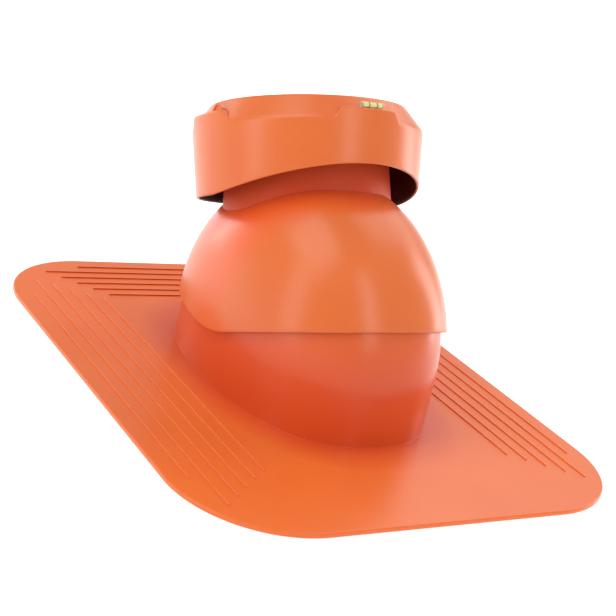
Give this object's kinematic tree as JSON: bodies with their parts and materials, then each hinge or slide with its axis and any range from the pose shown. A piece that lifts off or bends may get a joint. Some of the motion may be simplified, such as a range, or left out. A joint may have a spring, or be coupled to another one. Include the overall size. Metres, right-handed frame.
{
  "type": "roof vent pipe",
  "caption": "Roof vent pipe: a ribbed flange with a fixed dome, a tilting dome over it, an upright pipe and a rain cap with a bubble level.",
  "frame": {"origin": "centre of the flange's footprint, on its flat underside", "axes": "+Z square to the roof, +Y up the slope to the ridge edge, -Y down to the eave edge, X along the ridge and the tilt axis"},
  "size_m": [0.4, 0.49, 0.2532],
  "materials": {
    "terracotta_plastic": "satin, lightly sheened moulded plastic",
    "vial_green": "clear, glossy, yellow-green liquid inside"
  },
  "bodies": {
    "flashing": {"base_flashing": "terracotta_plastic"},
    "hood": {"tilting_dome": "terracotta_plastic", "vent_pipe": "terracotta_plastic", "rain_cap": "terracotta_plastic", "level_vial": "vial_green"}
  },
  "joints": [
    {"name": "dome_tilt", "type": "hinge", "parent": "flashing", "child": "hood", "pos_m": [0, 0, 0.0425], "axis": [1, 0, 0], "range_deg": [-5, 20]}
  ]
}
